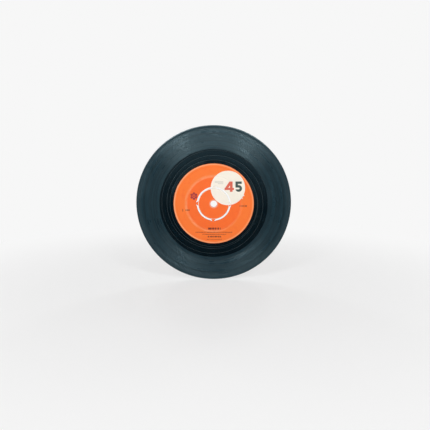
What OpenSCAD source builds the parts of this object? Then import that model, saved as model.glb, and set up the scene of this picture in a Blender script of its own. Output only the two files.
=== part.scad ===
// A seven inch, 45 rpm record with a push-out centre, upright on its edge with side A facing -Y.
// It is drawn lying flat, with its axis along Z and side A up, and then stood up.
// The origin is in the middle of the spindle hole, half way through the record.

/* [Disc] */
// Outside diameter of the record
disc_d = 174.6; // [172:0.1:177]
// Thickness of the playing field
field_t = 1.1; // [0.96:0.02:1.24]
// Thickness of the round bead along the rim
bead_t = 1.5; // [1.4:0.02:1.6]
// Width of the slope from the middle of the bead down to the playing field
bead_slope_w = 1.15; // [1:0.05:1.3]
// Thickness over the labels, where the record is thickest
land_t = 1.7; // [1.62:0.02:2]
// Width of the bare land round a label
land_w = 1.1; // [0.6:0.1:1.2]
// Width of the slope from the land down to the playing field
land_slope_w = 0.6; // [0.4:0.1:1.2]

/* [Groove] */
// Width of the groove at the surface; its walls stand square to each other
groove_w = 0.3; // [0.2:0.01:0.34]
// Width of the lead-in area, from the bead's slope to the recording
lead_in_w = 1.32; // [1.2:0.02:1.6]
// Turns of the lead-in groove
lead_in_turns = 1; // [1:1:2]
// Turns of the recording
recording_turns = 36; // [24:1:40]
// Diameter at which the recording ends
recording_end_d = 122.08; // [120:0.1:123]
// Turns of the lead-out groove
lead_out_turns = 2; // [1:1:3]
// Diameter of the closed groove that the lead-out groove ends in
closed_groove_d = 98.4; // [97.8:0.1:99]
// Turn of the spiral, counter-clockwise from +X
spiral_turn = 20; // [0:5:355]

/* [Label] */
// Diameter of a label
label_d = 90.6; // [88:0.1:91]
// Thickness of the label paper
paper_t = 0.12; // [0.08:0.01:0.16]
// Gap round a label in its recess
label_fit = 0.02; // [0.01:0.01:0.04]
// Diameter of the ring that is pressed into a label
press_ring_d = 61.8; // [58:0.2:64]
// Width of the pressed ring at the surface
press_ring_w = 2; // [1.6:0.1:2.4]
// Width of the pressed ring's flat bottom
press_ring_bed_w = 0.8; // [0.4:0.1:1]
// Depth of the pressed ring
press_ring_depth = 0.16; // [0.1:0.02:0.2]

/* [Centre] */
// Diameter of the spindle hole
spindle_hole_d = 7.24; // [7.2:0.01:7.33]
// Diameter of the large hole that the centre leaves when it is pushed out
large_hole_d = 38.25; // [38:0.05:38.5]
// Width of the slots between the centre and the disc
slot_w = 1.7; // [1.4:0.05:2]
// Width of the rounded-down edge of the centre
edge_w = 0.5; // [0.3:0.05:0.6]
// Height of the rounded-down edge of the centre
edge_h = 0.24; // [0.16:0.02:0.3]
// Number of bridges that hold the centre in the disc
bridges = 4; // [3:1:6]
// Turn of the first bridge, counter-clockwise from +X
bridge_turn = -1.5; // [-45:0.5:45]
// Width of a bridge where it leaves the centre
bridge_root_w = 6.2; // [5.4:0.1:7]
// Width of a bridge at its tip, where it snaps off the disc
bridge_tip_w = 2; // [1.6:0.1:2.4]
// Depth of the pocket in the large hole's wall that a bridge ends in
pocket_depth = 0.8; // [0.6:0.05:1]
// Width of a pocket at its bottom
pocket_bed_w = 3; // [2.8:0.1:3.4]
// Width of a pocket at the wall of the large hole
pocket_mouth_w = 5.8; // [5.2:0.1:6.4]
// Gap along the line where a bridge snaps off the disc
snap_gap = 0.05; // [0.03:0.01:0.08]

/* [Hidden] */
$fn = 120;

vinyl = [0.13, 0.15, 0.17];
paper_a = [0.98, 0.42, 0.2];
paper_b = [0.94, 0.38, 0.17];

// Heights are counted from the middle of the record
field_h = field_t / 2;
bead_h = bead_t / 2;
land_h = land_t / 2;
seat_h = land_h - paper_t;

disc_r = disc_d / 2;
bead_mid_r = disc_r - bead_h;
bead_foot_r = bead_mid_r - bead_slope_w;
label_r = label_d / 2;
recess_r = label_r + label_fit;
land_r = recess_r + land_w;
land_foot_r = land_r + land_slope_w;
press_ring_r = press_ring_d / 2;

spindle_r = spindle_hole_d / 2;
large_hole_r = large_hole_d / 2;
centre_r = large_hole_r - slot_w;
centre_top_r = centre_r - edge_w;
pocket_bed_r = large_hole_r + pocket_depth;
snap_r = pocket_bed_r - snap_gap;

// The groove is one spiral of half turns. In each stretch of it, the half turns on one side of the X axis
// lie round one middle and those on the other side round another, so that each half turn starts where the
// one before it ends, and in line with it. The middles are a quarter of the stretch's pitch from the
// origin. Places come in whole steps, so that ends meet exactly, and are counted out from the closed groove.
step = 0.001;
function whole(size) = step * round(size / step);
function quarter_pitch(end, start, turns) = whole((start - end) / turns / 4);
function stretch_start(end, quarter, turns) = end + 4 * turns * quarter;

groove_h = groove_w / 2;
cutter_rise = groove_w / 5;

// The lead-out groove runs into the closed groove from outside, and ends where their walls still cross
merge_w = 0.4 * groove_w;
closed_groove_r = whole(closed_groove_d / 2);
lead_out_end = whole(closed_groove_r + merge_w);
lead_out_quarter = quarter_pitch(lead_out_end, recording_end_d / 2, lead_out_turns);
recording_end = stretch_start(lead_out_end, lead_out_quarter, lead_out_turns);
recording_quarter = quarter_pitch(recording_end, bead_foot_r - lead_in_w, recording_turns);
lead_in_end = stretch_start(recording_end, recording_quarter, recording_turns);
lead_in_quarter = quarter_pitch(lead_in_end, bead_foot_r - groove_w, lead_in_turns);
groove_start = stretch_start(lead_in_end, lead_in_quarter, lead_in_turns);

// Section of the groove's cutter, which rises a little above the surface
module groove_section(radius)
    polygon([
        [radius, field_h - groove_h],
        [radius + groove_h + cutter_rise, field_h + cutter_rise],
        [radius - groove_h - cutter_rise, field_h + cutter_rise]
    ]);

// Half turns round one middle on the X axis, counter-clockwise from the given angle
module half_turns(radii, middle, angle)
    translate([middle, 0, 0])
        rotate([0, 0, angle])
            rotate_extrude(angle = 180)
                for (radius = radii)
                    groove_section(radius);

// A stretch of spiral, counter-clockwise and inwards from where its outer end crosses +X
module stretch(start, quarter, turns) {
    half_turns([for (i = [0:turns - 1]) start - (4 * i + 1) * quarter], quarter, 0);
    half_turns([for (i = [0:turns - 1]) start - (4 * i + 3) * quarter], -quarter, 180);
}

// The whole groove of one side
module groove()
    rotate([0, 0, spiral_turn]) {
        stretch(groove_start, lead_in_quarter, lead_in_turns);
        stretch(lead_in_end, recording_quarter, recording_turns);
        stretch(recording_end, lead_out_quarter, lead_out_turns);
        rotate_extrude()
            groove_section(closed_groove_r);
    }

module stand_up()
    rotate([90, 0, 0])
        children();

// Turned over, so that a groove also winds counter-clockwise and inwards as side B is seen
module turned_over()
    rotate([0, 180, 0])
        children();

// Copies what it is given, seen from above, to each bridge
module at_bridges()
    for (i = [0:bridges - 1])
        rotate(bridge_turn + i * 360 / bridges)
            children();

// A taper along +X, seen from above
module taper(from, to, from_w, to_w)
    polygon([[from, -from_w / 2], [to, -to_w / 2], [to, to_w / 2], [from, from_w / 2]]);

module bridge_plan()
    at_bridges()
        taper(centre_top_r - edge_w, snap_r, bridge_root_w, bridge_tip_w);

// The pockets reach into the hole as far as they are deep, at the same taper
module pocket_plan()
    at_bridges()
        taper(
            large_hole_r - pocket_depth,
            pocket_bed_r,
            2 * pocket_mouth_w - pocket_bed_w,
            pocket_bed_w
        );

// The pressed ring in a surface at the given height, from its inner edge to its outer edge
function press_ring(height) = [
    [press_ring_r - press_ring_w / 2, height],
    [press_ring_r - press_ring_bed_w / 2, height - press_ring_depth],
    [press_ring_r + press_ring_bed_w / 2, height - press_ring_depth],
    [press_ring_r + press_ring_w / 2, height]
];

function reverse(points) = [for (i = [len(points) - 1:-1:0]) points[i]];

// The lower half of an outline, from its upper half
function lower_half(upper) = [for (point = reverse(upper)) [point[0], -point[1]]];

// Section of the disc, from the large hole to the middle of the bead
module disc_section() {
    upper = concat(
        [[large_hole_r, seat_h]],
        press_ring(seat_h),
        [
            [recess_r, seat_h],
            [recess_r, land_h],
            [land_r, land_h],
            [land_foot_r, field_h],
            [bead_foot_r, field_h],
            [bead_mid_r, bead_h - step]
        ]
    );
    polygon(concat(upper, lower_half(upper)));
}

// The disc before its groove is cut
module blank() {
    rotate_extrude()
        disc_section();
    rotate_extrude()
        translate([bead_mid_r, 0])
            circle(bead_h);
}

// Section of the push-out centre, without its bridges
module centre_section() {
    upper = [
        [spindle_r, seat_h],
        [centre_top_r, seat_h],
        [centre_r, seat_h - edge_h]
    ];
    polygon(concat(upper, lower_half(upper)));
}

// Upper outline of a label's ring, on a surface at the given height
function ring_line(height) = concat([[large_hole_r, height]], press_ring(height), [[label_r, height]]);

// Upper outline of a label's middle, on a surface at the given height
function middle_line(height) = [[spindle_r, height], [centre_top_r, height], [centre_r, height - edge_h]];

module label_ring()
    difference() {
        rotate_extrude()
            polygon(concat(ring_line(land_h), reverse(ring_line(seat_h))));
        translate([0, 0, seat_h - paper_t])
            linear_extrude(3 * paper_t)
                pocket_plan();
    }

// The paper follows the centre's rounded-down edge, and lies flat over the bridges
module label_middle() {
    difference() {
        rotate_extrude()
            polygon(concat(middle_line(land_h), reverse(middle_line(seat_h))));
        linear_extrude(seat_h)
            bridge_plan();
    }
    translate([0, 0, seat_h])
        linear_extrude(paper_t)
            bridge_plan();
}

module vinyl_disc()
    color(vinyl)
        stand_up()
            difference() {
                blank();
                groove();
                turned_over()
                    groove();
                translate([0, 0, -land_h])
                    linear_extrude(land_t)
                        pocket_plan();
            }

module push_out_centre()
    color(vinyl)
        stand_up() {
            rotate_extrude()
                centre_section();
            translate([0, 0, -seat_h])
                linear_extrude(2 * seat_h)
                    bridge_plan();
        }

module label_ring_a()
    color(paper_a)
        stand_up()
            label_ring();

module label_ring_b()
    color(paper_b)
        stand_up()
            mirror([0, 0, 1])
                label_ring();

module label_centre_a()
    color(paper_a)
        stand_up()
            label_middle();

module label_centre_b()
    color(paper_b)
        stand_up()
            mirror([0, 0, 1])
                label_middle();

vinyl_disc();
push_out_centre();
label_ring_a();
label_ring_b();
label_centre_a();
label_centre_b();
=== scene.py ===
"""Dresses a seven inch, 45 rpm record with a push-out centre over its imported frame.

Side A faces -Y and +Z is up. Sizes in the classes are in millimetres, as on a drawing, and are turned
into metres where a mesh or a material is made.
"""
from __future__ import annotations

import logging
import math
from collections.abc import Callable
from dataclasses import dataclass, field
from enum import Enum
from functools import reduce

import bmesh
import bpy
from mathutils import Euler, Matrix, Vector


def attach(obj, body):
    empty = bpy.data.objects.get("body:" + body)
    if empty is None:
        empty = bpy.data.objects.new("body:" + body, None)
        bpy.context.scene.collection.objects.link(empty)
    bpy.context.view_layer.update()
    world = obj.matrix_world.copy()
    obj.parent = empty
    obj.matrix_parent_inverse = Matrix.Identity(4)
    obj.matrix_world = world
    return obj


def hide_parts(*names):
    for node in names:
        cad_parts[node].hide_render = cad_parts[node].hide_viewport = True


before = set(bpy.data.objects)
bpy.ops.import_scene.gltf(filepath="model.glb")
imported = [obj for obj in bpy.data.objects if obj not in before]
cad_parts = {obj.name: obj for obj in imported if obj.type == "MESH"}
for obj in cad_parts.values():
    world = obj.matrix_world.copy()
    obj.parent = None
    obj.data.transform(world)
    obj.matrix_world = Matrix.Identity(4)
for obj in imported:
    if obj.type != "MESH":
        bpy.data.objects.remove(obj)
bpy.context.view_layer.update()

LOG = logging.getLogger("record")
MM = 0.001
FULL_TURN = 2 * math.pi

Colour = tuple[float, float, float]
Place = tuple[float, float]
Box = tuple[float, float, float, float]
Range = tuple[float, float, float, float]
Grain = tuple[float, float, float]
Band = tuple[float, float, float]
Socket = bpy.types.NodeSocket
Value = float | Socket


class Side(Enum):
    """The two faces of the record, with the way that each one looks along Y."""

    A = -1
    B = 1


class Sketch:
    """The shader nodes of one material or sky, added and linked by what they work out."""

    def __init__(self, owner: bpy.types.Material | bpy.types.World, shader: str, output: str) -> None:
        """Starts over with one shader and its output.

        Args:
            owner: The material or sky.
            shader: Type of the shader's node.
            output: Type of the output's node.
        """
        owner.use_nodes = True
        self.owner = owner
        self.tree = owner.node_tree
        self.tree.nodes.clear()
        self.shader = self.node(shader)
        self.output = self.node(output, self.shader.outputs[0])

    @classmethod
    def of_material(cls, name: str) -> Sketch:
        """Starts the sketch of a new material."""
        return cls(bpy.data.materials.new(name), "BsdfPrincipled", "OutputMaterial")

    def node(self, kind: str, *values: Value | Colour, **settings: str) -> bpy.types.Node:
        """Adds a node.

        Args:
            kind: Its type, without ShaderNode in front.
            *values: Its first inputs in order.
            **settings: Its properties by name.

        Returns:
            The node.
        """
        node = self.tree.nodes.new("ShaderNode" + kind)
        for name, setting in settings.items():
            setattr(node, name, setting)
        for socket, value in zip(node.inputs, values):
            self.feed(socket, value)
        return node

    def feed(self, socket: Socket, value: Value | Colour) -> None:
        """Links a socket to another one, or sets its value.

        Args:
            socket: The input to set.
            value: An output socket, a number or a colour.
        """
        if isinstance(value, bpy.types.NodeSocket):
            self.tree.links.new(value, socket)
        elif isinstance(value, tuple) and socket.type == "RGBA":
            socket.default_value = (*value, 1.0)
        else:
            socket.default_value = value

    def set_shader(self, **values: Value | Colour) -> None:
        """Sets inputs of the shader, named as the sockets are, with _ for a space."""
        for name, value in values.items():
            self.feed(self.shader.inputs[name.replace("_", " ")], value)

    def maths(self, operation: str, *values: Value) -> Socket:
        """Works out one number from others, by an operation of the Math node."""
        return self.node("Math", *values, operation=operation).outputs[0]

    def fold(self, operation: str, *values: Value) -> Socket:
        """Works out one number from many, which go into an operation two at a time."""
        return reduce(lambda so_far, value: self.maths(operation, so_far, value), values)

    def times(self, first: Value, second: Value) -> Socket:
        """Multiplies two numbers."""
        return self.maths("MULTIPLY", first, second)

    def minus(self, first: Value, second: Value) -> Socket:
        """Takes the second number from the first."""
        return self.maths("SUBTRACT", first, second)

    def plus(self, *values: Value) -> Socket:
        """Adds numbers up."""
        return self.fold("ADD", *values)

    def length(self, run: Socket, rise: Socket) -> Socket:
        """Gives the distance covered by a run and a rise."""
        return self.maths("SQRT", self.plus(self.times(run, run), self.times(rise, rise)))

    def vector(self, x: Value, y: Value, z: Value) -> Socket:
        """Puts three numbers together as a vector."""
        return self.node("CombineXYZ", x, y, z).outputs[0]

    def place(self) -> tuple[Socket, ...]:
        """Gives the shaded point in the object's own frame.

        Returns:
            Its x, y and z in millimetres.
        """
        scaled = self.node("VectorMath", self.node("TexCoord").outputs["Object"], operation="SCALE")
        scaled.inputs["Scale"].default_value = 1 / MM
        return tuple(self.node("SeparateXYZ", scaled.outputs[0]).outputs)

    def attribute(self, name: str) -> Socket:
        """Gives a number that the mesh holds at each vertex, or 0 where it has none."""
        return self.node("Attribute", attribute_name=name).outputs["Fac"]

    def facing(self) -> Socket:
        """Gives how squarely the surface faces along Y, from 0 to 1."""
        normal = self.node("SeparateXYZ", self.node("TexCoord").outputs["Normal"])
        return self.maths("ABSOLUTE", normal.outputs["Y"])

    def seen(self) -> Socket:
        """Gives 1 for a ray that looks at the surface, and 0 for one that only lights it."""
        rays = self.node("LightPath").outputs
        kinds = ("Camera", "Glossy", "Transmission")
        return self.fold("MAXIMUM", *(rays[f"Is {kind} Ray"] for kind in kinds))

    def noise(self, where: Socket, scale: float, detail: float, rough: float = 0.5) -> Socket:
        """Gives a cloudy noise about 0.5, by its cells per millimetre, its octaves and their weight."""
        return self.node("TexNoise", where, 0.0, scale, detail, rough).outputs[0]

    def specks(self, where: Socket, scale: float, size: float, share: float) -> Socket:
        """Gives small round specks, one in some of the cells of a grid.

        Args:
            where: The point, in millimetres.
            scale: Cells per millimetre.
            size: Radius of the largest speck, as a share of a cell.
            share: Share of the cells that hold one.

        Returns:
            1 inside a speck and 0 outside.
        """
        cells = self.node("TexVoronoi", where, 0.0, scale)
        colour = self.node("SeparateColor", cells.outputs["Color"])
        held = self.maths("LESS_THAN", colour.outputs[0], share)
        reach = self.times(colour.outputs[1], size)
        return self.times(held, self.maths("LESS_THAN", cells.outputs["Distance"], reach))

    def ramp(
        self, value: Value, low: float, high: float, to_low: float = 0.0, to_high: float = 1.0
    ) -> Socket:
        """Maps the range from low to high smoothly onto another one, and holds the ends."""
        limits = (low, high, to_low, to_high)
        return self.node("MapRange", value, *limits, interpolation_type="SMOOTHSTEP").outputs[0]

    def band(self, value: Socket, low: float, high: float, soft: float) -> Socket:
        """Gives 1 where a number lies in a range and 0 outside, with soft ends."""
        rise = self.ramp(value, low - soft, low + soft)
        return self.times(rise, self.ramp(value, high - soft, high + soft, 1.0, 0.0))

    def mix(self, share: Value, first: Socket | Colour, second: Socket | Colour) -> Socket:
        """Blends two colours.

        Args:
            share: How much of the second colour shows, from 0 to 1.
            first: The colour below.
            second: The colour above.

        Returns:
            The blended colour.
        """
        node = self.node("Mix", share, data_type="RGBA")
        self.feed(node.inputs[6], first)
        self.feed(node.inputs[7], second)
        return node.outputs[2]

    def paint(self, ground: Socket, colour: Colour, mask: Socket, strength: Value) -> Socket:
        """Lays a colour over the ground where a mask is, as strongly as a number from 0 to 1 says."""
        return self.mix(self.times(mask, strength), ground, colour)

    def relief(self, height: Socket, depth: float) -> Socket:
        """Turns a height into a bumped normal.

        Args:
            height: The height, from 0 to 1.
            depth: What a height of 1 stands for, in millimetres.

        Returns:
            The normal.
        """
        node = self.node("Bump", 1.0, depth * MM)
        self.feed(node.inputs["Height"], height)
        return node.outputs[0]


@dataclass(frozen=True)
class Row:
    """A row of short marks in place of a line of print, cut out of a noise at its seed."""

    middle: float
    width: float
    low: float
    high: float
    period: float
    seed: float


class Stencil:
    """Flat printed shapes, each given as how far inside it a point lies, in millimetres."""

    def __init__(self, sketch: Sketch, x: Socket, z: Socket) -> None:
        """Takes the plane that the shapes lie in.

        Args:
            sketch: The material that the shapes are for.
            x: Place to the right, as the side is seen.
            z: Place upwards.
        """
        self.sketch = sketch
        self.x = x
        self.z = z
        self.radius = self.distance(0.0, 0.0)

    def _near(self, value: Socket, middle: float, half: float) -> Socket:
        """Gives how far inside a stripe a place is."""
        away = self.sketch.maths("ABSOLUTE", self.sketch.minus(value, middle))
        return self.sketch.minus(half, away)

    def distance(self, x: float, z: float) -> Socket:
        """Gives the distance from a point of the plane."""
        return self.sketch.length(self.sketch.minus(self.x, x), self.sketch.minus(self.z, z))

    def bars(self, *boxes: Box) -> Socket:
        """Gives upright rectangles.

        Args:
            *boxes: Their left, right, low and high edges.

        Returns:
            How far inside one of them a point lies.
        """
        shapes = []
        for left, right, low, high in boxes:
            wide = self._near(self.x, (left + right) / 2, (right - left) / 2)
            tall = self._near(self.z, (low + high) / 2, (high - low) / 2)
            shapes.append(self.overlap(wide, tall))
        return self.union(*shapes)

    def disc(self, x: float, z: float, radius: float) -> Socket:
        """Gives a filled circle by its middle and radius."""
        return self.sketch.minus(radius, self.distance(x, z))

    def ring(self, x: float, z: float, radius: float, width: float) -> Socket:
        """Gives a circle line by its middle, radius and line width."""
        return self._near(self.distance(x, z), radius, width / 2)

    def slant(self, start: Place, end: Place, width: float) -> Socket:
        """Gives an endless slanting stroke.

        Args:
            start: A point on its middle line.
            end: Another point on it.
            width: Width of the stroke.

        Returns:
            How far inside it a point lies.
        """
        length = math.dist(start, end)
        across_x = -(end[1] - start[1]) / length
        across_z = (end[0] - start[0]) / length
        along = self.sketch.plus(self.sketch.times(self.x, across_x), self.sketch.times(self.z, across_z))
        return self._near(along, start[0] * across_x + start[1] * across_z, width / 2)

    def dashes(self, row: Row) -> Socket:
        """Gives a row of short upright marks of uneven width.

        Args:
            row: The row's place and marks.

        Returns:
            How far inside a mark a point lies.
        """
        sketch = self.sketch
        widest, unevenness = 0.72, 0.9
        step = sketch.maths("DIVIDE", sketch.minus(self.x, row.middle), row.period)
        uneven = sketch.noise(sketch.vector(step, row.seed, 0.0), unevenness, 0.0)
        away = sketch.maths("ABSOLUTE", sketch.minus(sketch.maths("FRACT", step), 0.5))
        marks = sketch.times(sketch.minus(sketch.times(uneven, widest), away), row.period)
        half = row.width / 2
        return self.overlap(self.bars((row.middle - half, row.middle + half, row.low, row.high)), marks)

    def union(self, *shapes: Socket) -> Socket:
        """Gives what lies in any of the shapes."""
        return self.sketch.fold("MAXIMUM", *shapes)

    def overlap(self, *shapes: Socket) -> Socket:
        """Gives what lies in all of the shapes."""
        return self.sketch.fold("MINIMUM", *shapes)

    def mask(self, shape: Socket, soft: float = 0.12) -> Socket:
        """Turns a shape into a mask with a soft edge, from 0 outside to 1 inside."""
        return self.sketch.ramp(shape, -soft / 2, soft / 2)


@dataclass(frozen=True)
class RingNoise:
    """A noise that is drawn out along the grooves."""

    density: float
    spread: float
    scale: float
    detail: float

    def draw(self, sketch: Sketch, x: Socket, z: Socket, radius: Socket) -> Socket:
        """Draws the noise.

        Args:
            sketch: The material that it is for.
            x: Place to the right.
            z: Place upwards.
            radius: Distance from the axis.

        Returns:
            The noise.
        """
        round_x, round_z = (sketch.times(sketch.maths("DIVIDE", way, radius), self.spread) for way in (x, z))
        where = sketch.vector(round_x, sketch.times(radius, self.density), round_z)
        return sketch.noise(where, self.scale, self.detail)


@dataclass(frozen=True)
class Hairlines:
    """Long hairline scratches, which follow one level of a stretched noise."""

    angles_and_seeds: tuple[Place, ...] = ((0.5, 3.0), (1.9, 11.0), (2.6, 23.0))
    along_scale: float = 0.022
    across_scale: float = 0.2
    level: float = 0.56
    fading: Range = (0.0004, 0.0012, 1.0, 0.0)

    def draw(self, sketch: Sketch, x: Socket, z: Socket) -> Socket:
        """Draws the scratches.

        Args:
            sketch: The material that they are for.
            x: Place to the right in millimetres.
            z: Place upwards in millimetres.

        Returns:
            1 on a scratch and 0 beside it.
        """
        lines = []
        for angle, seed in self.angles_and_seeds:
            along = sketch.plus(sketch.times(x, math.cos(angle)), sketch.times(z, math.sin(angle)))
            across = sketch.minus(sketch.times(z, math.cos(angle)), sketch.times(x, math.sin(angle)))
            along, across = sketch.times(along, self.along_scale), sketch.times(across, self.across_scale)
            noise = sketch.noise(sketch.vector(along, across, seed), 1.0, 1.0)
            away = sketch.maths("ABSOLUTE", sketch.minus(noise, self.level))
            lines.append(sketch.ramp(away, *self.fading))
        return sketch.fold("MAXIMUM", *lines)


@dataclass(frozen=True)
class VinylFinish:
    """Pressed black vinyl: glossy where it is plain, greyer and finely lined where it is recorded."""

    name: str = "pressed_vinyl"
    plain: Colour = (0.001, 0.006, 0.01)
    recorded: Colour = (0.01, 0.032, 0.046)
    rim: Colour = (0.016, 0.036, 0.048)
    sheen: Colour = (0.66, 0.92, 1.0)
    dust: Colour = (0.2, 0.21, 0.21)
    handled: Colour = (0.14, 0.21, 0.24)
    recorded_band: Band = (61.0, 84.0, 0.35)
    rim_rise: Place = (83.6, 84.4)
    handled_band: Band = (81.6, 84.3, 0.9)
    handled_share: float = 0.085
    plain_roughness: float = 0.17
    recorded_roughness: float = 0.32
    rim_roughness: float = 0.33
    refraction: float = 1.8
    haze: Grain = (0.035, 3.0, 0.55)
    haze_roughness: Range = (0.35, 0.7, -0.03, 0.05)
    bands: RingNoise = RingNoise(1.0, 0.3, 0.5, 3.0)
    band_shade: Range = (0.38, 0.62, 0.3, 1.2)
    band_roughness: Range = (0.36, 0.64, 0.04, -0.04)
    wiped: RingNoise = RingNoise(0.12, 3.0, 1.0, 2.0)
    wiped_roughness: Range = (0.35, 0.7, -0.02, 0.05)
    lines: RingNoise = RingNoise(1.0, 0.12, 6.0, 1.0)
    line_depth: float = 0.012
    plain_line_share: float = 0.04
    worn_name: str = "worn"
    worn_share: float = 0.2
    worn_roughness: float = 0.32
    scratches: Hairlines = Hairlines()
    scratch_share: float = 0.12
    specks: Grain = (0.16, 0.035, 0.25)
    speck_share: float = 0.4

    def material(self) -> bpy.types.Material:
        """Makes the material.

        Returns:
            The finished material.
        """
        sketch = Sketch.of_material(self.name)
        x, y, z = sketch.place()
        point = sketch.vector(x, y, z)
        radius = sketch.length(x, z)
        recorded = sketch.band(radius, *self.recorded_band)
        rim = sketch.ramp(radius, *self.rim_rise)
        handled = sketch.band(radius, *self.handled_band)
        worn = sketch.attribute(self.worn_name)
        specks = sketch.specks(point, *self.specks)
        haze = sketch.noise(point, *self.haze)
        noises = (self.bands, self.wiped, self.lines)
        bands, wiped, lines = (noise.draw(sketch, x, z, radius) for noise in noises)

        shade = sketch.times(recorded, sketch.ramp(bands, *self.band_shade))
        colour = sketch.mix(shade, self.plain, self.recorded)
        colour = sketch.mix(rim, colour, self.rim)
        colour = sketch.paint(colour, self.handled, handled, self.handled_share)
        colour = sketch.paint(colour, self.dust, specks, self.speck_share)
        colour = sketch.paint(colour, self.dust, worn, self.worn_share)
        colour = sketch.paint(colour, self.dust, self.scratches.draw(sketch, x, z), self.scratch_share)
        rough = sketch.plus(
            sketch.ramp(recorded, 0.0, 1.0, self.plain_roughness, self.recorded_roughness),
            sketch.ramp(haze, *self.haze_roughness),
            sketch.ramp(rim, 0.0, 1.0, 0.0, self.rim_roughness - self.plain_roughness),
            sketch.times(recorded, sketch.ramp(bands, *self.band_roughness)),
            sketch.ramp(wiped, *self.wiped_roughness),
            sketch.times(worn, self.worn_roughness),
        )
        height = sketch.times(lines, sketch.ramp(recorded, 0.0, 1.0, self.plain_line_share, 1.0))
        sketch.set_shader(
            Base_Color=colour,
            Roughness=rough,
            Normal=sketch.relief(height, self.line_depth),
            Specular_Tint=self.sheen,
            IOR=self.refraction,
        )
        return sketch.owner


@dataclass(frozen=True)
class SpeedNumber:
    """The speed, 45, in plain upright digits, by the edges and middles of their strokes."""

    four_strokes: tuple[Box, ...] = ((18.2, 21.2, 13.6, 25.2), (12.2, 22.8, 15.6, 18.1))
    slope_start: Place = (13.6, 16.6)
    slope_end: Place = (19.4, 25.2)
    slope_width: float = 2.9
    slope_box: Box = (12.2, 21.2, 15.6, 25.2)
    five_strokes: tuple[Box, ...] = (
        (24.4, 31.4, 22.5, 25.2),
        (24.4, 27.2, 18.4, 25.2),
        (24.4, 28.2, 18.4, 21.1),
    )
    bowl: tuple[float, float, float, float] = (28.0, 17.35, 2.4, 2.75)
    bowl_boxes: tuple[Box, ...] = ((27.9, 33.0, 12.6, 22.0), (23.0, 33.0, 12.6, 16.3))

    def four(self, print_on: Stencil) -> Socket:
        """Gives the first digit."""
        slope = print_on.slant(self.slope_start, self.slope_end, self.slope_width)
        slope = print_on.overlap(slope, print_on.bars(self.slope_box))
        return print_on.union(print_on.bars(*self.four_strokes), slope)

    def five(self, print_on: Stencil) -> Socket:
        """Gives the second digit."""
        bowl = print_on.overlap(print_on.ring(*self.bowl), print_on.bars(*self.bowl_boxes))
        return print_on.union(print_on.bars(*self.five_strokes), bowl)


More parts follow.
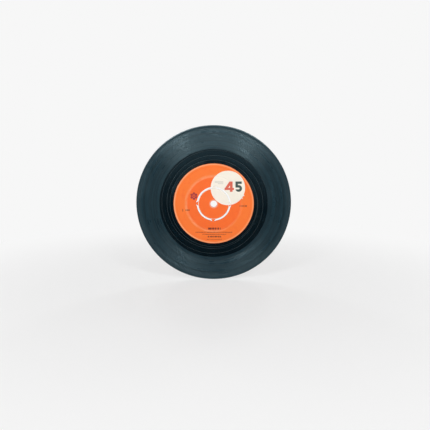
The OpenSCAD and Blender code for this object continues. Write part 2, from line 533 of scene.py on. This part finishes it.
@dataclass(frozen=True)
class LabelFinish:
    """Printed label paper: an orange ground, a cream disc and small dark print, worn at the edges."""

    name: str
    side: Side
    orange: Colour = (1.0, 0.16, 0.022)
    warm_orange: Colour = (1.0, 0.198, 0.028)
    deep_orange: Colour = (0.93, 0.11, 0.022)
    peach: Colour = (1.0, 0.5, 0.26)
    cream: Colour = (0.94, 0.875, 0.765)
    paper: Colour = (0.85, 0.79, 0.7)
    dark_ink_and_edge_shade: Colour = (0.085, 0.02, 0.02)
    # Dark ink for the print, also used for the painted shade along the label's outermost edge.
    plum_ink: Colour = (0.3, 0.018, 0.05)
    green_ink: Colour = (0.02, 0.055, 0.05)
    red_ink: Colour = (0.74, 0.085, 0.035)
    mottle: Grain = (0.16, 3.0, 0.6)
    blot: Grain = (0.7, 2.0, 0.6)
    fibre: Grain = (2.6, 3.0, 0.65)
    fibre_roughness: Range = (0.3, 0.7, 0.4, 0.56)
    fibre_share: float = 0.6
    paper_relief: float = 0.03
    gloss: float = 0.35
    mottling: Range = (0.5, 0.78, 0.0, 0.35)
    # Painted highlight on the pressed ring: how patchy it is, and how it fades from the left to the right.
    highlight_patchiness: Range = (0.3, 0.6, 0.12, 0.36)
    highlight_across: Range = (28.0, -8.0, 0.3, 1.0)
    warm_rise: Place = (29.7, 32.1)
    pressed_band: Band = (29.8, 32.6, 0.9)
    border_band: Band = (43.6, 44.95, 0.25)
    border_across: Range = (-30.0, 40.0, 0.6, 0.4)
    # Painted shade: the outermost edge of the label is darkened as if in shadow.
    edge_shade_rise: Place = (44.95, 45.25)
    edge_shade_share: float = 0.6
    printed_ring: Place = (41.6, 0.34)
    ring_softness: float = 0.3
    ring_share: float = 0.5
    torn_band: Band = (16.83, 17.48, 0.1)
    torn: Range = (0.3, 0.6, 0.35, 1.0)
    hole_wear: Range = (4.02, 5.52, 0.4, 0.0)
    side_wear: Range = (0.45, 0.6, 1.0, 0.0)
    softness: float = 0.2
    fine_softness: float = 0.25
    cream_x: float = 15.9
    cream_z: float = 17.9
    cream_r: float = 19.3
    cream_raggedness: float = 0.35
    speed: SpeedNumber = SpeedNumber()
    four_share: float = 0.93
    five_share: float = 0.95
    rules: tuple[Box, ...] = ((1.2, 10.8, 24.3, 24.9), (4.6, 10.8, 22.5, 22.9))
    rule_share: float = 0.55
    bold_rows: tuple[Row, ...] = (
        Row(0.8, 14.4, -29.3, -27.1, 2.9, 4.0),
        Row(0.8, 15.0, -38.3, -36.6, 1.9, 9.0),
    )
    bold_share: float = 0.85
    fine_rows: tuple[Row, ...] = (
        Row(0.4, 42.0, -33.0, -31.9, 1.15, 17.0),
        Row(0.6, 27.5, -35.3, -34.3, 1.1, 29.0),
        Row(0.6, 17.0, -41.0, -40.2, 1.2, 51.0),
        Row(33.4, 8.4, -3.2, -1.6, 1.5, 37.0),
        Row(-29.6, 5.6, -7.9, -6.3, 1.4, 43.0),
    )
    fine_share: float = 0.62
    number_one: tuple[Box, ...] = (
        (-35.1, -34.6, -8.4, -5.8),
        (-35.35, -34.85, -6.3, -5.8),
        (-35.5, -34.2, -8.4, -8.0),
    )
    number_two: tuple[Box, ...] = (
        (-35.6, -34.1, -6.3, -5.8),
        (-34.6, -34.1, -7.1, -5.8),
        (-35.6, -34.1, -7.35, -6.85),
        (-35.6, -35.1, -8.4, -7.1),
        (-35.6, -34.1, -8.4, -7.9),
    )
    flower: Place = (-22.2, 8.8)
    flower_dot_r: float = 0.95
    petal_reach: float = 2.85
    petal_r: float = 1.4
    petal_count: int = 6
    chips: tuple[tuple[float, float, float], ...] = (
        (33.7, 9.4, 0.75),
        (32.2, 6.4, 0.6),
        (-14.2, 12.9, 0.4),
    )
    chip_raggedness: float = 1.4

    def material(self) -> bpy.types.Material:
        """Makes the material.

        Returns:
            The finished material.
        """
        sketch = Sketch.of_material(self.name)
        x, y, z = sketch.place()
        point = sketch.vector(x, y, z)
        print_on = Stencil(sketch, sketch.times(x, -self.side.value), z)
        mottle, blot, fibre = (sketch.noise(point, *grain) for grain in (self.mottle, self.blot, self.fibre))
        colour = self._ground(print_on, mottle)
        colour = self._small_print(print_on, colour)
        colour = self._cream_disc(print_on, colour, blot)
        colour = self._wear(print_on, colour, blot, fibre)
        coarse = sketch.times(blot, 1 - self.fibre_share)
        height = sketch.plus(sketch.times(fibre, self.fibre_share), coarse)
        sketch.set_shader(
            Base_Color=colour,
            Roughness=sketch.ramp(fibre, *self.fibre_roughness),
            Normal=sketch.relief(height, self.paper_relief),
            Specular_IOR_Level=self.gloss,
        )
        return sketch.owner

    def _ground(self, print_on: Stencil, mottle: Socket) -> Socket:
        """Prints the orange ground, with a painted highlight on the pressed ring that is strongest on the
        left, paler towards the edge, and with painted shade along the outermost edge.

        Args:
            print_on: The plane of the label.
            mottle: Large noise for the unevenness of the ink.

        Returns:
            The colour.
        """
        sketch, radius = print_on.sketch, print_on.radius
        colour = sketch.mix(sketch.ramp(radius, *self.warm_rise), self.orange, self.warm_orange)
        colour = sketch.mix(sketch.ramp(mottle, *self.mottling), colour, self.deep_orange)
        # Painted highlight: peach laid over the pressed ring, patchy with the mottle and strongest on the
        # left.
        pressed = sketch.band(radius, *self.pressed_band)
        across = sketch.ramp(print_on.x, *self.highlight_across)
        painted_highlight = sketch.times(sketch.ramp(mottle, *self.highlight_patchiness), across)
        colour = sketch.paint(colour, self.peach, pressed, painted_highlight)
        ring = print_on.mask(print_on.ring(0.0, 0.0, *self.printed_ring), self.ring_softness)
        colour = sketch.paint(colour, self.deep_orange, ring, self.ring_share)
        border = sketch.band(radius, *self.border_band)
        colour = sketch.paint(colour, self.peach, border, sketch.ramp(print_on.x, *self.border_across))
        # Painted shade: dark laid over the outermost edge of the label.
        edge_shade = sketch.ramp(radius, *self.edge_shade_rise)
        return sketch.paint(colour, self.dark_ink_and_edge_shade, edge_shade, self.edge_shade_share)

    def _small_print(self, print_on: Stencil, ground: Socket) -> Socket:
        """Prints the rows of small marks, the side's number and the flower.

        Args:
            print_on: The plane of the label.
            ground: The colour below.

        Returns:
            The colour with the print on it.
        """
        sketch = print_on.sketch
        fine = print_on.union(*(print_on.dashes(row) for row in self.fine_rows))
        bold = print_on.union(*(print_on.dashes(row) for row in self.bold_rows))
        number = print_on.bars(*(self.number_one if self.side is Side.A else self.number_two))
        x, z = self.flower
        flower = [print_on.disc(x, z, self.flower_dot_r)]
        for index in range(self.petal_count):
            angle = FULL_TURN * (index + 0.5) / self.petal_count
            across, up = self.petal_reach * math.cos(angle), self.petal_reach * math.sin(angle)
            flower.append(print_on.disc(x + across, z + up, self.petal_r))
        fine, bold = print_on.mask(fine, self.fine_softness), print_on.mask(bold, self.softness)
        colour = sketch.paint(ground, self.dark_ink_and_edge_shade, fine, self.fine_share)
        colour = sketch.paint(colour, self.dark_ink_and_edge_shade, bold, self.bold_share)
        colour = sketch.paint(colour, self.dark_ink_and_edge_shade, print_on.mask(number), self.bold_share)
        return sketch.paint(colour, self.plum_ink, print_on.mask(print_on.union(*flower)), self.bold_share)

    def _cream_disc(self, print_on: Stencil, ground: Socket, blot: Socket) -> Socket:
        """Prints the cream disc, with the speed as a plain number and two rules on it.

        Args:
            print_on: The plane of the label.
            ground: The colour below.
            blot: Noise for the unevenness of the print.

        Returns:
            The colour with the disc on it.
        """
        sketch = print_on.sketch
        ragged = sketch.times(sketch.minus(blot, 0.5), self.cream_raggedness)
        edge = sketch.plus(print_on.disc(self.cream_x, self.cream_z, self.cream_r), ragged)
        rules = print_on.mask(print_on.bars(*self.rules), self.softness)
        four, five = print_on.mask(self.speed.four(print_on)), print_on.mask(self.speed.five(print_on))
        colour = sketch.mix(print_on.mask(edge), ground, self.cream)
        colour = sketch.paint(colour, self.green_ink, rules, self.rule_share)
        colour = sketch.paint(colour, self.red_ink, four, self.four_share)
        return sketch.paint(colour, self.green_ink, five, self.five_share)

    def _wear(self, print_on: Stencil, ground: Socket, blot: Socket, fibre: Socket) -> Socket:
        """Wears the print down to the paper at the edges and in a few chips.

        Args:
            print_on: The plane of the label.
            ground: The printed colour.
            blot: Coarse noise.
            fibre: Fine noise.

        Returns:
            The worn colour.
        """
        sketch, radius = print_on.sketch, print_on.radius
        edge = sketch.times(sketch.band(radius, *self.torn_band), sketch.ramp(blot, *self.torn))
        hole = sketch.ramp(radius, *self.hole_wear)
        ragged = sketch.times(sketch.minus(fibre, 0.5), self.chip_raggedness)
        chips = sketch.plus(print_on.union(*(print_on.disc(*chip) for chip in self.chips)), ragged)
        cut_side = sketch.ramp(sketch.facing(), *self.side_wear)
        worn = print_on.union(edge, hole, print_on.mask(chips, self.softness), cut_side)
        return sketch.mix(worn, ground, self.paper)


@dataclass(frozen=True)
class Groove:
    """Course of one side's groove: lead-in, recording and lead-out, wound inwards as one spiral."""

    start_r: float = 84.3
    lead_in_end_r: float = 83.5
    recording_end_r: float = 61.04
    end_r: float = 49.44
    lead_in_turns: int = 2
    recording_turns: int = 62
    lead_out_turns: int = 2
    width: float = 0.3
    depth: float = 0.11
    lead_out_fullness: float = 1.6
    lead_out_depth: float = 1.15
    fade_in_turns: float = 0.4
    fade_out_turns: float = 0.03

    @property
    def lead_out_from(self) -> int:
        """Gives the turn at which the lead-out starts."""
        return self.lead_in_turns + self.recording_turns

    @property
    def turns(self) -> int:
        """Gives the whole number of turns."""
        return self.lead_out_from + self.lead_out_turns

    def radius(self, turn: float) -> float:
        """Gives the radius of the groove's middle after a number of turns.

        Args:
            turn: Turns from the start.

        Returns:
            The radius in millimetres.
        """
        for turns, start, end in (
            (self.lead_in_turns, self.start_r, self.lead_in_end_r),
            (self.recording_turns, self.lead_in_end_r, self.recording_end_r),
            (self.lead_out_turns, self.recording_end_r, self.end_r),
        ):
            if turn <= turns:
                return start + (end - start) * turn / turns
            turn -= turns
        return self.end_r

    def fullness(self, turn: float) -> float:
        """Gives the size of the groove's section at a turn, as a share of the recording's.

        Args:
            turn: Turns from the start.

        Returns:
            0 at both ends, 1 along the recording and more along the lead-out.
        """
        swell = min(1.0, max(0.0, turn - self.lead_out_from) / self.fade_in_turns)
        size = 1.0 + (self.lead_out_fullness - 1.0) * swell
        fading = size * (self.turns - turn) / self.fade_out_turns
        return max(0.0, min(size, turn / self.fade_in_turns, fading))

    def depth_at(self, fullness: float) -> float:
        """Gives the groove's depth for a fullness: the lead-out grows in width more than in depth."""
        return self.depth * min(fullness, self.lead_out_depth)


class CourseMarks:
    """What each vertex of the disc's section knows of the groove: its turn, its place across, its wear."""

    def __init__(self, mesh: bmesh.types.BMesh, worn_name: str) -> None:
        """Adds the layers to a mesh.

        Args:
            mesh: The mesh that the section is drawn in.
            worn_name: Name of the layer for the wear, which stays on the mesh.
        """
        layers = mesh.verts.layers.float
        self.turn = layers.new("turn")
        self.part = layers.new("part")
        self.worn = layers.new(worn_name)

    def mark(
        self, vertex: bmesh.types.BMVert, turn: float = -1.0, part: float = 0.0, worn: float = 0.0
    ) -> None:
        """Marks a vertex.

        Args:
            vertex: The vertex.
            turn: The turn of the groove that it belongs to, or -1 for none.
            part: How far across the groove it lies, from -1 inside to 1 outside.
            worn: How much dust and wear the needle leaves there.
        """
        vertex[self.turn] = turn
        vertex[self.part] = part
        vertex[self.worn] = worn


@dataclass
class PressedDisc:
    """The vinyl disc: rim bead, playing field with its groove, land, label seat and large hole."""

    finish: VinylFinish
    groove: Groove = field(default_factory=Groove)
    steps: int = 192
    start_step: int = 11
    field_h: float = 0.55
    disc_r: float = 87.29
    bead_h: float = 0.75
    bead_w: float = 1.2
    bead_foot_r: float = 84.6
    bead_segments: int = 14
    land_h: float = 0.85
    seat_h: float = 0.73
    land_foot_r: float = 48.6
    land_r: float = 46.42
    recess_r: float = 45.32
    closed_groove_r: float = 49.2
    press_r: float = 30.9
    press_w: float = 2.0
    press_bed_w: float = 0.8
    press_depth: float = 0.16
    large_hole_r: float = 19.125
    bridges: int = 4
    bridge_turn: float = -1.5
    pocket_bed_r: float = 19.925
    pocket_bed_w: float = 3.0
    pocket_bed_step: int = 2
    pocket_mouth_w: float = 5.8
    pocket_mouth_step: int = 6
    rounding: float = 0.04
    rounding_segments: int = 2
    tolerance: float = 0.01
    merge_distance: float = 0.002
    shortest_edge: float = 0.0005

    def build(self) -> bpy.types.Object:
        """Makes the disc as one closed mesh and puts it on its body.

        Returns:
            The finished piece.
        """
        mesh = bmesh.new()
        marks = CourseMarks(mesh, self.finish.worn_name)
        self._side_section(mesh, marks)
        self._mirror_section(mesh)
        self._sweep(mesh, marks)
        self._cut_pockets(mesh)
        bmesh.ops.remove_doubles(mesh, verts=mesh.verts, dist=self.merge_distance)
        bmesh.ops.dissolve_degenerate(mesh, edges=mesh.edges, dist=self.shortest_edge)
        start_angle = math.radians(self.bridge_turn + self.start_step * 360 / self.steps)
        turned = Euler((0, -start_angle, 0)).to_matrix()
        bmesh.ops.rotate(mesh, verts=mesh.verts, cent=(0, 0, 0), matrix=turned)
        for name in ("turn", "part"):
            mesh.verts.layers.float.remove(mesh.verts.layers.float[name])
        piece = add_piece("record_disc", mesh, self.finish.material())
        weigh_normals(piece)
        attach(piece, "record")
        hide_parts("vinyl_disc")
        return piece

    def _side_section(self, mesh: bmesh.types.BMesh, marks: CourseMarks) -> None:
        """Draws the section of side A, from the large hole out to the rim's widest point.

        Args:
            mesh: The mesh to draw in.
            marks: Its layers for the groove.
        """
        chain = [bmesh.ops.create_vert(mesh, co=(self.large_hole_r, -self.seat_h, 0))["vert"][0]]
        marks.mark(chain[0])

        def run_to(radius: float, height: float) -> bmesh.types.BMVert:
            """Extrudes the chain to its next point.

            Args:
                radius: Distance of the point from the axis.
                height: Its height over the middle of the disc.

            Returns:
                The new end of the chain.
            """
            last = bmesh.ops.extrude_vert_indiv(mesh, verts=[chain[-1]])["verts"][0]
            last.co = (radius, -height, 0)
            marks.mark(last)
            chain.append(last)
            return last

        run_to(self.press_r - self.press_w / 2, self.seat_h)
        run_to(self.press_r - self.press_bed_w / 2, self.seat_h - self.press_depth)
        run_to(self.press_r + self.press_bed_w / 2, self.seat_h - self.press_depth)
        run_to(self.press_r + self.press_w / 2, self.seat_h)
        run_to(self.recess_r, self.seat_h)
        run_to(self.recess_r, self.land_h)
        land_edges = [run_to(self.land_r, self.land_h), run_to(self.land_foot_r, self.field_h)]
        for turn in (None, *reversed(range(self.groove.turns))):
            self._groove_points(run_to, turn, marks)
        run_to(self.groove.start_r, self.field_h)
        run_to(self.bead_foot_r, self.field_h)
        for index in range(self.bead_segments + 1):
            angle = math.pi / 2 * (1 - index / self.bead_segments)
            run_to(self.disc_r - self.bead_w * (1 - math.cos(angle)), self.bead_h * math.sin(angle))
        bmesh.ops.bevel(
            mesh,
            geom=land_edges,
            offset=self.rounding,
            offset_type="OFFSET",
            segments=self.rounding_segments,
            profile=0.5,
            affect="VERTICES",
            material=-1,
        )

    def _groove_points(
        self, run_to: Callable[[float, float], bmesh.types.BMVert], turn: int | None, marks: CourseMarks
    ) -> None:
        """Extrudes the chain across one turn of the groove, from its inner edge to its outer edge.

        Args:
            run_to: Function that extrudes the chain.
            turn: The turn, or None for the closed groove.
            marks: Layers for the groove.
        """
        closed = turn is None
        middle = self.closed_groove_r if closed else self.groove.radius(turn)
        size = self.groove.lead_out_fullness if closed else 1.0
        worn = 1.0 if closed or turn >= self.groove.lead_out_from else 0.0
        for across in (-1, 0, 1):
            depth = 0.0 if across else self.groove.depth_at(size)
            vertex = run_to(middle + across * self.groove.width / 2 * size, self.field_h - depth)
            marks.mark(vertex, -1.0 if closed else float(turn), float(across), 0.0 if across else worn)

    def _mirror_section(self, mesh: bmesh.types.BMesh) -> None:
        """Mirrors side A's section to side B and joins the two at the rim and along the hole's wall."""
        bmesh.ops.mirror(mesh, geom=mesh.verts[:] + mesh.edges[:], axis="Y", merge_dist=0.0001)
        mesh.edges.new([vertex for vertex in mesh.verts if self._at_hole(vertex.co.x)])

    def _at_hole(self, radius: float) -> bool:
        """Tells whether a radius is that of the large hole's wall."""
        return abs(radius - self.large_hole_r) < self.tolerance

    def _sweep(self, mesh: bmesh.types.BMesh, marks: CourseMarks) -> None:
        """Spins the section a full turn, then lets each groove vertex run along its spiral.

        The spin doesn't merge its two ends, because a turn of the groove ends where the next one starts.

        Args:
            mesh: The mesh with the section.
            marks: Layers for the groove.
        """
        last = spin_round(mesh, (0, -1, 0), self.steps, use_merge=False)
        for vertex in mesh.verts:
            turn = vertex[marks.turn]
            if turn < 0:
                continue
            angle = math.atan2(vertex.co.z, vertex.co.x)
            share = round(angle / FULL_TURN * self.steps) % self.steps / self.steps
            if vertex in last:
                share = 1.0
            along = turn + (share if vertex.co.y < 0 else 1 - share)
            fullness = self.groove.fullness(along)
            radius = self.groove.radius(along) + vertex[marks.part] * self.groove.width / 2 * fullness
            depth = self.groove.depth_at(fullness) * (1 - abs(vertex[marks.part]))
            height = math.copysign(self.field_h - depth, vertex.co.y)
            angle = share * FULL_TURN
            vertex.co = (radius * math.cos(angle), height, radius * math.sin(angle))
            vertex[marks.worn] *= min(1.0, fullness)

    def _cut_pockets(self, mesh: bmesh.types.BMesh) -> None:
        """Moves the wall of the large hole out into the pockets that the bridges end in.

        Args:
            mesh: The swept mesh, which is drawn from the groove's start.
        """
        slope = (self.pocket_mouth_w - self.pocket_bed_w) / 2 / (self.pocket_bed_r - self.large_hole_r)
        stride = 0.001
        bed = Vector((self.pocket_bed_r, self.pocket_bed_w / 2))
        mouth = bed.copy()
        while mouth.length > self.large_hole_r:
            mouth -= Vector((stride, -stride * slope))
        bed_step, mouth_step = self.pocket_bed_step, self.pocket_mouth_step
        step = FULL_TURN / self.steps
        quarter = self.steps / self.bridges
        for vertex in mesh.verts:
            if not self._at_hole(math.hypot(vertex.co.x, vertex.co.z)):
                continue
            angle = math.atan2(vertex.co.z, vertex.co.x) / step + self.start_step
            away = (angle + quarter / 2) % quarter - quarter / 2
            bridge = (angle - away - self.start_step) * step
            if abs(away) > mouth_step + self.tolerance:
                continue
            if abs(away) <= bed_step:
                place = Vector((bed.x, bed.y * abs(away) / bed_step))
            else:
                place = bed.lerp(mouth, (abs(away) - bed_step) / (mouth_step - bed_step))
            place.y = math.copysign(place.y, away)
            vertex.co.x = place.x * math.cos(bridge) - place.y * math.sin(bridge)
            vertex.co.z = place.x * math.sin(bridge) + place.y * math.cos(bridge)


@dataclass
class PushOutCentre:
    """The centre with its spindle hole and bridges, which keeps its shape from the frame."""

    finish: VinylFinish

    def dress(self) -> bpy.types.Object:
        """Gives the centre its finish."""
        return dress_node("push_out_centre", self.finish.material())


@dataclass
class Label:
    """One side's paper label, torn in two along the bridges: a ring and a middle."""

    side: Side

    def dress(self) -> list[bpy.types.Object]:
        """Prints both parts of the label as one sheet.

        Returns:
            The dressed nodes.
        """
        letter = self.side.name.lower()
        material = LabelFinish(f"printed_label_{letter}", self.side).material()
        return [dress_node(f"label_{part}_{letter}", material) for part in ("ring", "centre")]


@dataclass(frozen=True)
class Lamp:
    """A square soft lamp: its direction right of straight up, its lean forward, and its power."""

    angle: float
    forward: float
    power: float

    def hang(self, name: str, distance: float, size: float) -> None:
        """Hangs the lamp so that it points at the record.

        Args:
            name: Name of the lamp.
            distance: Its distance from the record's middle.
            size: Length of its sides.
        """
        light = bpy.data.lights.new(name, "AREA")
        light.shape = "SQUARE"
        light.size = size * MM
        light.energy = self.power
        lamp = bpy.data.objects.new(name, light)
        lean, turn = math.radians(self.forward), math.radians(self.angle)
        way = Vector((math.sin(turn) * math.cos(lean), -math.sin(lean), math.cos(turn) * math.cos(lean)))
        lamp.location = way * distance * MM
        lamp.rotation_mode = "QUATERNION"
        lamp.rotation_quaternion = (-way).to_track_quat("-Z", "Y")
        bpy.context.scene.collection.objects.link(lamp)


@dataclass
class Studio:
    """A round pale room with soft lamps above the record, in front of it and behind it."""

    floor_z: float = -87.3
    floor_shares: tuple[float, ...] = (0.1, 0.3, 0.6, 1.0)
    floor_r: float = 900.0
    curve_r: float = 320.0
    wall_h: float = 900.0
    steps: int = 96
    curve_segments: int = 12
    tolerance: float = 0.01
    pale: Colour = (0.93, 0.93, 0.93)
    matt_share: float = 0.8
    matt_roughness: float = 0.9
    matt_gloss: float = 0.1
    dim_floor: Colour = (0.024, 0.024, 0.024)
    dim_wall: Colour = (0.25, 0.32, 0.36)
    dim_high: Colour = (0.07, 0.07, 0.07)
    dim_run: Place = (0.0, 8.0)
    wall_rise: Place = (-60.0, 60.0)
    high_rise: Place = (60.0, 250.0)
    near_glow: float = 0.66
    near_r: float = 110.0
    far_r: float = 420.0
    lamp_distance: float = 1120.0
    lamp_size: float = 205.0
    lamps: tuple[Lamp, ...] = (Lamp(-34.0, 50.0, 3.45), Lamp(0.0, 38.0, 1.3), Lamp(34.0, 50.0, 3.6))
    back_share: float = 0.7
    sky: float = 0.1
    seen_sky: float = 0.93

    def build(self) -> None:
        """Makes the room, the lamps and the sky."""
        self._room()
        for index, lamp in enumerate(self.lamps, start=1):
            lamp.hang(f"front_lamp_{index}", self.lamp_distance, self.lamp_size)
            behind = Lamp(lamp.angle, -lamp.forward, lamp.power * self.back_share)
            behind.hang(f"back_lamp_{index}", self.lamp_distance, self.lamp_size)
        self._sky()

    def _room(self) -> None:
        """Spins a floor that curves up into a wall all round."""
        mesh = bmesh.new()
        last = bmesh.ops.create_vert(mesh, co=(0, 0, self.floor_z))["vert"][0]
        middle_z = self.floor_z + self.curve_r
        places = [(self.floor_r * share, self.floor_z) for share in self.floor_shares]
        for index in range(1, self.curve_segments + 1):
            angle = math.pi / 2 * index / self.curve_segments
            across, down = self.curve_r * math.sin(angle), self.curve_r * math.cos(angle)
            places.append((self.floor_r + across, middle_z - down))
        places.append((self.floor_r + self.curve_r, middle_z + self.wall_h))
        for radius, height in places:
            last = bmesh.ops.extrude_vert_indiv(mesh, verts=[last])["verts"][0]
            last.co = (radius, 0, height)
        spin_round(mesh, (0, 0, 1), self.steps, use_merge=True)
        bmesh.ops.remove_doubles(mesh, verts=mesh.verts, dist=self.tolerance)
        room = add_piece("room", mesh, self._room_material())

    def _room_material(self) -> bpy.types.Material:
        """Makes a matt pale floor that turns into an even pale backdrop further out.

        The record's reflections show the room dimmer than the camera sees it.

        Returns:
            The material.
        """
        sketch = Sketch.of_material("pale_room")
        x, y, z = sketch.place()
        far = sketch.ramp(sketch.length(x, y), self.near_r, self.far_r, self.near_glow, 1.0)
        ahead = sketch.ramp(sketch.maths("ABSOLUTE", y), *self.dim_run)
        reflected = sketch.times(ahead, sketch.node("LightPath").outputs["Is Glossy Ray"])
        dim = sketch.mix(sketch.ramp(z, *self.wall_rise), self.dim_floor, self.dim_wall)
        dim = sketch.mix(sketch.ramp(z, *self.high_rise), dim, self.dim_high)
        glow = sketch.node("Emission", sketch.mix(reflected, self.pale, dim))
        glowing = sketch.fold("MAXIMUM", sketch.times(far, sketch.seen()), reflected)
        blend = sketch.node("MixShader", glowing, sketch.shader.outputs[0], glow.outputs[0])
        sketch.feed(sketch.output.inputs["Surface"], blend.outputs[0])
        matt: Colour = tuple(self.matt_share * value for value in self.pale)
        sketch.set_shader(Base_Color=matt, Roughness=self.matt_roughness, Specular_IOR_Level=self.matt_gloss)
        return sketch.owner

    def _sky(self) -> None:
        """Lights the room a little from above, and shows the rest of its walls as a pale sky."""
        sketch = Sketch(bpy.data.worlds.new("sky"), "Background", "OutputWorld")
        strength = sketch.ramp(sketch.seen(), 0.0, 1.0, self.sky, self.seen_sky)
        sketch.set_shader(Color=(1.0, 1.0, 1.0), Strength=strength)
        bpy.context.scene.world = sketch.owner


@dataclass(frozen=True)
class Viewpoint:
    """The camera, slightly above the axis of the record."""

    elevation: float = 6.0
    distance: float = 492.4
    focal_px: float = 436.0
    image_px: float = 430.0
    middle_px: Place = (213.7, 203.8)
    sensor: float = 36.0

    def place(self) -> None:
        """Makes the camera, aimed so that the spindle hole lies where the picture has it."""
        data = bpy.data.cameras.new("viewpoint")
        data.sensor_width = self.sensor
        data.lens = self.sensor * self.focal_px / self.image_px
        camera = bpy.data.objects.new("viewpoint", data)
        rise = math.radians(self.elevation)
        camera.location = Vector((0, -math.cos(rise), math.sin(rise))) * self.distance * MM
        right = self.middle_px[0] - self.image_px / 2
        up = self.image_px / 2 - self.middle_px[1]
        pitch = math.pi / 2 - rise - math.atan(up / self.focal_px)
        yaw = math.atan(right / self.focal_px)
        camera.rotation_euler = Euler((pitch, 0, yaw))
        bpy.context.scene.collection.objects.link(camera)
        bpy.context.scene.camera = camera


def spin_round(
    mesh: bmesh.types.BMesh, axis: tuple[int, int, int], steps: int, use_merge: bool
) -> set[bmesh.types.BMVert]:
    """Spins all of a mesh a full turn round an axis through the origin.

    Args:
        mesh: The mesh.
        axis: Direction of the axis.
        steps: How many steps the turn has.
        use_merge: Whether the last step is merged with the first.

    Returns:
        The vertices of the last step.
    """
    spun = bmesh.ops.spin(
        mesh,
        geom=mesh.verts[:] + mesh.edges[:],
        cent=(0, 0, 0),
        axis=axis,
        dvec=(0, 0, 0),
        angle=FULL_TURN,
        steps=steps,
        use_merge=use_merge,
        use_normal_flip=False,
        use_duplicate=False,
    )
    return {item for item in spun["geom_last"] if isinstance(item, bmesh.types.BMVert)}


def add_piece(name: str, mesh: bmesh.types.BMesh, material: bpy.types.Material) -> bpy.types.Object:
    """Turns a bmesh into a smooth object of the scene.

    Args:
        name: Name of the object.
        mesh: Its mesh in millimetres, which is used up.
        material: Its only material.

    Returns:
        The object, at the origin and in metres.
    """
    bmesh.ops.scale(mesh, verts=mesh.verts, vec=(MM, MM, MM))
    bmesh.ops.recalc_face_normals(mesh, faces=mesh.faces)
    for face in mesh.faces:
        face.smooth = True
    data = bpy.data.meshes.new(name)
    mesh.to_mesh(data)
    mesh.free()
    data.materials.append(material)
    piece = bpy.data.objects.new(name, data)
    bpy.context.scene.collection.objects.link(piece)
    return piece


def weigh_normals(piece: bpy.types.Object) -> None:
    """Lets wide flat faces keep their shading beside rounded edges."""
    modifier = piece.modifiers.new("weighted_normals", "WEIGHTED_NORMAL")
    modifier.mode = "FACE_AREA"
    modifier.keep_sharp = True


def dress_node(name: str, material: bpy.types.Material) -> bpy.types.Object:
    """Gives a node of the frame its material.

    Args:
        name: Name of the node.
        material: The material for all of it.

    Returns:
        The node's object.
    """
    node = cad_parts[name]
    for slot in node.material_slots:
        slot.material = material
    return node


def main() -> None:
    """Builds the scene piece by piece and reports each one."""
    logging.basicConfig(level=logging.INFO, format="%(name)s: %(message)s")
    bpy.context.scene.view_settings.view_transform = "Standard"
    Viewpoint().place()
    LOG.info("camera placed")
    vinyl = VinylFinish()
    disc = PressedDisc(vinyl).build()
    LOG.info("%s: %d faces", disc.name, len(disc.data.polygons))
    centre = PushOutCentre(vinyl).dress()
    LOG.info("%s dressed", centre.name)
    for side in Side:
        for part in Label(side).dress():
            LOG.info("%s printed", part.name)
    Studio().build()
    LOG.info("room and lamps set")


if __name__ == "__main__":
    main()
